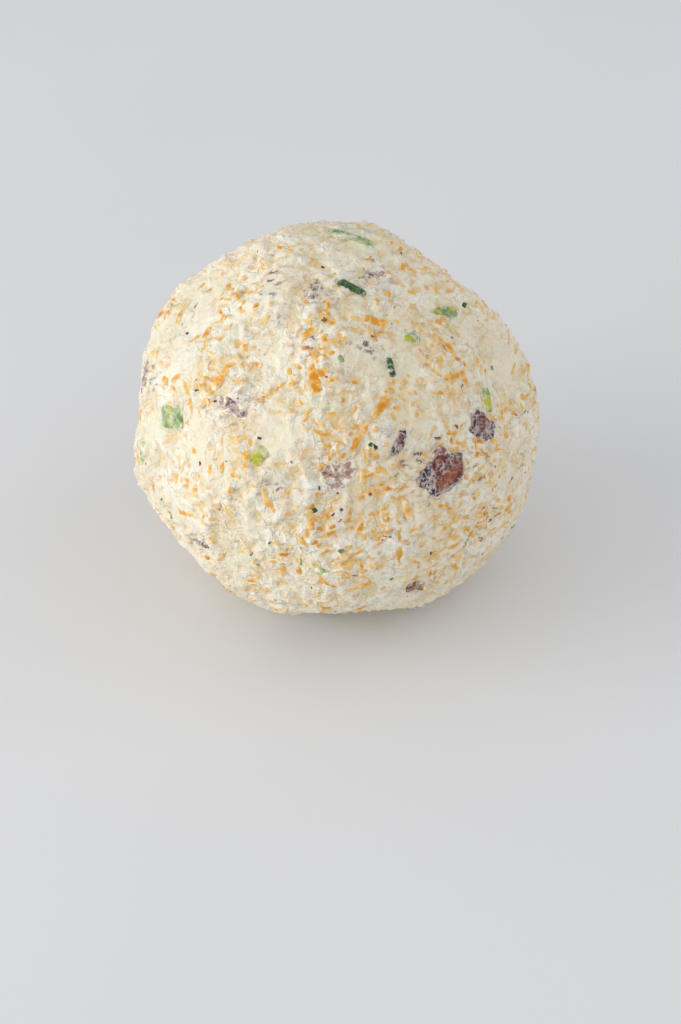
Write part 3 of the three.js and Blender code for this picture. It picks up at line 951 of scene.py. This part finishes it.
# %% Cheese smeared over a piece
def smeared_over(place, look, film, rim, haze):
    """A colour under the cheese: a thin film that lets it through as a haze, thick towards the rim, and
    white creases and rags over it, more of them the higher the film number."""
    cover = place.stirred(0.4, 0.8).noise(0.45, 3) + film * 0.30 + rim.ease(0.72, 1.05) * 0.22
    look = (cover.ease(0.60, 0.74) * 0.8).mix(look, haze)
    look = cover.ease(0.77, 0.87).mix(look, colour(246, 238, 214))
    return (place.stirred(0.4, 0.9).creases(0.42, 0.04) * (film * 0.7 + 0.1)).mix(look, FILM_AND_HIGHLIGHT_WHITE)


# %% Green pepper
def green_pepper(place):
    """Veined flesh, yellow in patches, and dark skin where the tone is high, under its smear of cheese."""
    tone, film = place.number("tone"), place.number("film")
    flesh = place.noise(0.35, 3).ease(0.35, 0.65).mix(colour(162, 178, 122), colour(106, 138, 74))
    flesh = (place.noise(0.22, 2) + tone * 0.4).ease(0.65, 0.72).mix(flesh, colour(190, 188, 34))
    skin = place.noise(0.5, 2).ease(0.35, 0.65).mix(colour(3, 42, 5), colour(24, 90, 10))
    dark = (tone + (place.noise(0.4, 2) - 0.5) * 0.8).ease(0.45, 0.75)
    look = smeared_over(place, dark.mix(flesh, skin), film, place.number("rim"), colour(204, 208, 180))
    return {
        "Base Color": look,
        "Roughness": 0.48 - dark * 0.2,
        "Coat Weight": dark * 0.2,
        "Normal": bumped(place, place.noise(0.9, 3), 0.6, 0.5),
    }


# %% [markdown]
# ## Bacon
# Crumbled bacon is streaky: glossy brown and dark red lean, purple where smoked and crisp, near black
# where burnt, pale fat between, with cream cheese caught in its cracks. Each slab darkens towards its rim
# and its back end, partly as burnt edges and partly as painted shade where it sits sunk in the cheese. One
# drifting number runs through those colours in turn, so that they always border each other in the same
# order.


# %% Bacon
def bacon(place):
    """The drift, tone plus slow noise and a darker rim, picks the lean's colour; the darker rim is partly
    burnt edge and partly painted shade of the recess. Fat and marbling go over.
    """
    tone, film, rim = place.number("tone"), place.number("film"), place.number("rim")
    streaks = place.stirred(0.25, 1.4)
    # The rim term is partly burnt edge and partly painted shade where the cheese rims the slab's recess.
    drift = tone + (streaks.noise(0.18, 3) - 0.5) * 2.2 + rim.ease(0.55, 1.0) * 0.4
    lean = drift.ease(0.14, 0.34).mix(colour(152, 66, 4), colour(98, 18, 12))
    lean = drift.ease(0.0, -0.3).mix(lean, colour(124, 96, 50))
    lean = drift.ease(0.42, 0.56).mix(lean, colour(104, 70, 76))
    lean = drift.ease(0.66, 0.84).mix(lean, colour(30, 28, 44))
    fat = streaks.noise(0.36, 2).ease(0.60, 0.68)
    look = (fat * 0.6).mix(lean, colour(190, 160, 150))
    marbled = place.stirred(0.5, 0.6).creases(0.5, 0.08) * drift.ease(0.35, 0.6) * (1 - film * 0.7)
    look = (marbled * 0.8).mix(look, colour(222, 208, 204))
    look = smeared_over(place, look, film, rim, colour(194, 166, 156))
    return {
        "Base Color": look,
        "Roughness": 0.34 + place.noise(0.7, 2) * 0.3,
        "Coat Weight": drift.ease(0.6, 0.2) * 0.5,
        "Normal": bumped(place, place.noise(0.7, 4), 0.8, 0.9),
    }


# %% [markdown]
# ## Giving each piece its finish
# In the outliner a material takes a click for each piece. Every piece has had its slot since it was made,
# so one loop gives each of them its material.

# %% Give every piece its finish
FINISHES = {
    "cream_cheese": finish("cream cheese", cream_cheese, 0.12, (1, 0.6, 0.35), 1, Specular_IOR_Level=0.35),
    "cheddar": finish("cheddar", cheddar, 0.15, (1, 0.5, 0.15), 0.8, Specular_IOR_Level=0.4),
    "green_pepper": finish("green pepper", green_pepper, 0.05, (0.4, 1, 0.2), 0.8, Coat_Roughness=0.2),
    "bacon": finish("bacon", bacon, 0.05, (1, 0.3, 0.2), 0.6, Coat_Roughness=0.15),
}
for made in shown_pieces():
    made.data.materials.clear()
    made.data.materials.append(FINISHES[made["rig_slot"]])

# %% [markdown]
# ## Table, light and camera
# The ball stands on a plain pale table in soft daylight. A wide window on its left gives the light its
# direction, a low one in front fills the underside with what the table throws back, and the room is a
# faint fill from the right.


# %% Table
TABLE_REACH = 30.0


def pale(place):
    """A matt pale grey, a little cloudy."""
    cloudy = place.noise(0.004, 3).ease(0.3, 0.7)
    return {
        "Base Color": cloudy.mix(colour(228, 229, 232), colour(231, 232, 235)),
        "Roughness": 0.65 + place.noise(0.004, 1) * 0.1,
    }


def table():
    """One wide square under the ball, with its top at height nought."""
    mesh = bpy.data.meshes.new("table")
    corners = np.array([[-1, -1, 0], [1, -1, 0], [1, 1, 0], [-1, 1, 0]]) * TABLE_REACH
    mesh.from_pydata(corners.tolist(), [], [(0, 1, 2, 3)])
    made = bpy.data.objects.new("table", mesh)
    bpy.context.scene.collection.objects.link(made)
    mesh.materials.append(finish("pale table", pale, Specular_IOR_Level=0.0))


table()
print("table", 2 * TABLE_REACH, "m wide")


# %% Light
def window(name, turn, lift, distance, size, watts, tint):
    """A square area light that faces the ball from a place round it."""
    lamp = bpy.data.lights.new(name, "AREA")
    lamp.size, lamp.energy, lamp.color = size, watts, tint
    made = bpy.data.objects.new(name, lamp)
    made.location = Vector(CENTRE + toward(turn, lift) * distance)
    made.rotation_euler = Vector(toward(turn, lift)).to_track_quat("Z", "Y").to_euler()
    bpy.context.scene.collection.objects.link(made)


window("window", -76, 14, 1.3, 0.85, 8.3, (1.0, 0.99, 0.97))
window("low window", -48, 6, 1.5, 0.9, 2.8, (1.0, 0.99, 0.97))
window("room", 75, 40, 2.0, 2.0, 6, (1.0, 0.98, 0.95))

world = bpy.data.worlds.new("room")
world.use_nodes = True
background = world.node_tree.nodes["Background"]
background.inputs["Color"].default_value = colour(226, 227, 228)
background.inputs["Strength"].default_value = 0.84
bpy.context.scene.world = world
bpy.context.scene.view_settings.view_transform = "Standard"
print(len(bpy.data.lights), "windows")

# %% Camera
VIEW_LIFT = 35  # degrees
VIEW_DISTANCE = 0.6787
LENS = 85  # mm
AIM = CENTRE + np.array([0.0008, -0.0156, -0.0213])  # a little in front of the ball and under its middle

camera_data = bpy.data.cameras.new("camera")
camera_data.lens = LENS
camera = bpy.data.objects.new("camera", camera_data)
camera.location = Vector(CENTRE + toward(0, VIEW_LIFT) * VIEW_DISTANCE)
camera.rotation_euler = (camera.location - Vector(AIM)).to_track_quat("Z", "Y").to_euler()
bpy.context.scene.collection.objects.link(camera)
bpy.context.scene.camera = camera
print("camera", VIEW_DISTANCE, "m from the ball's centre")
